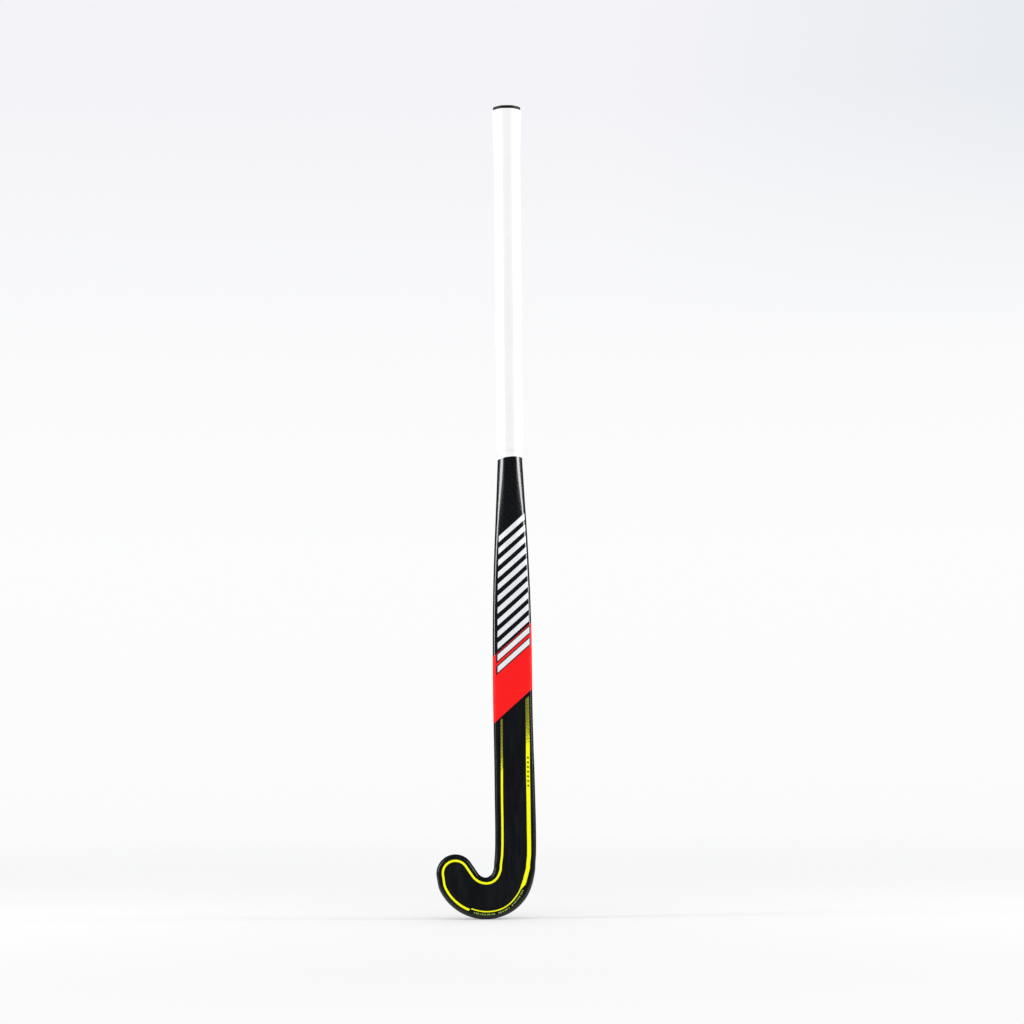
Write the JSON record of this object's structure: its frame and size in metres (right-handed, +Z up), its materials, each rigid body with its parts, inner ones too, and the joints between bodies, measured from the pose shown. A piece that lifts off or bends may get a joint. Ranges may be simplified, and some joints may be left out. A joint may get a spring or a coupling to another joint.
{
  "type": "field hockey stick",
  "caption": "Composite field hockey stick with a flat-faced hooked head, a gently bowed shaft and a wrapped octagonal handle flared at the butt.",
  "frame": {"origin": "lowest point of the head, where the stick touches the ground", "axes": "+Z up along the handle's centre line towards the butt; -Y the way the flat playing face looks; -X the way the toe points"},
  "size_m": [0.1117, 0.0637, 0.927],
  "materials": {
    "carbon": "clear-lacquered woven composite, glossy on the upper shaft and satin on the face",
    "composite_inner": "bare moulded composite",
    "foam": "closed-cell foam",
    "impact_ply": "woven aramid",
    "elastomer": "moulded elastomer",
    "cap_black": "moulded plastic, satin",
    "collar": "moulded foam",
    "underlay": "thin cushion foam",
    "grip_white": "white polyurethane wrap, soft satin",
    "tape_white": "vinyl finishing tape",
    "film_red": "printed film under lacquer",
    "film_white": "printed film under lacquer",
    "film_yellow": "fluorescent printed film",
    "film_black": "printed film under lacquer"
  },
  "bodies": {
    "root": {"laminate_shell": "carbon", "shaft_web": "composite_inner", "head_core": "foam", "face_ply": "impact_ply", "heel_insert": "elastomer", "handle_core": "foam", "damper_sleeve": "elastomer", "end_cap": "cap_black", "butt_collar": "collar", "grip_underlay": "underlay", "grip_tape": "grip_white", "grip_end_band": "tape_white", "red_band": "film_red", "bar_keylines": "film_black", "shaft_bars": "film_white", "toe_stripe": "film_yellow", "sole_stripe": "film_yellow", "heel_stripe": "film_yellow", "toe_stripe_fade": "film_yellow", "heel_stripe_fade": "film_yellow", "sole_marks": "film_yellow", "shaft_marks": "film_black", "back_bars": "film_white"}
  },
  "joints": []
}
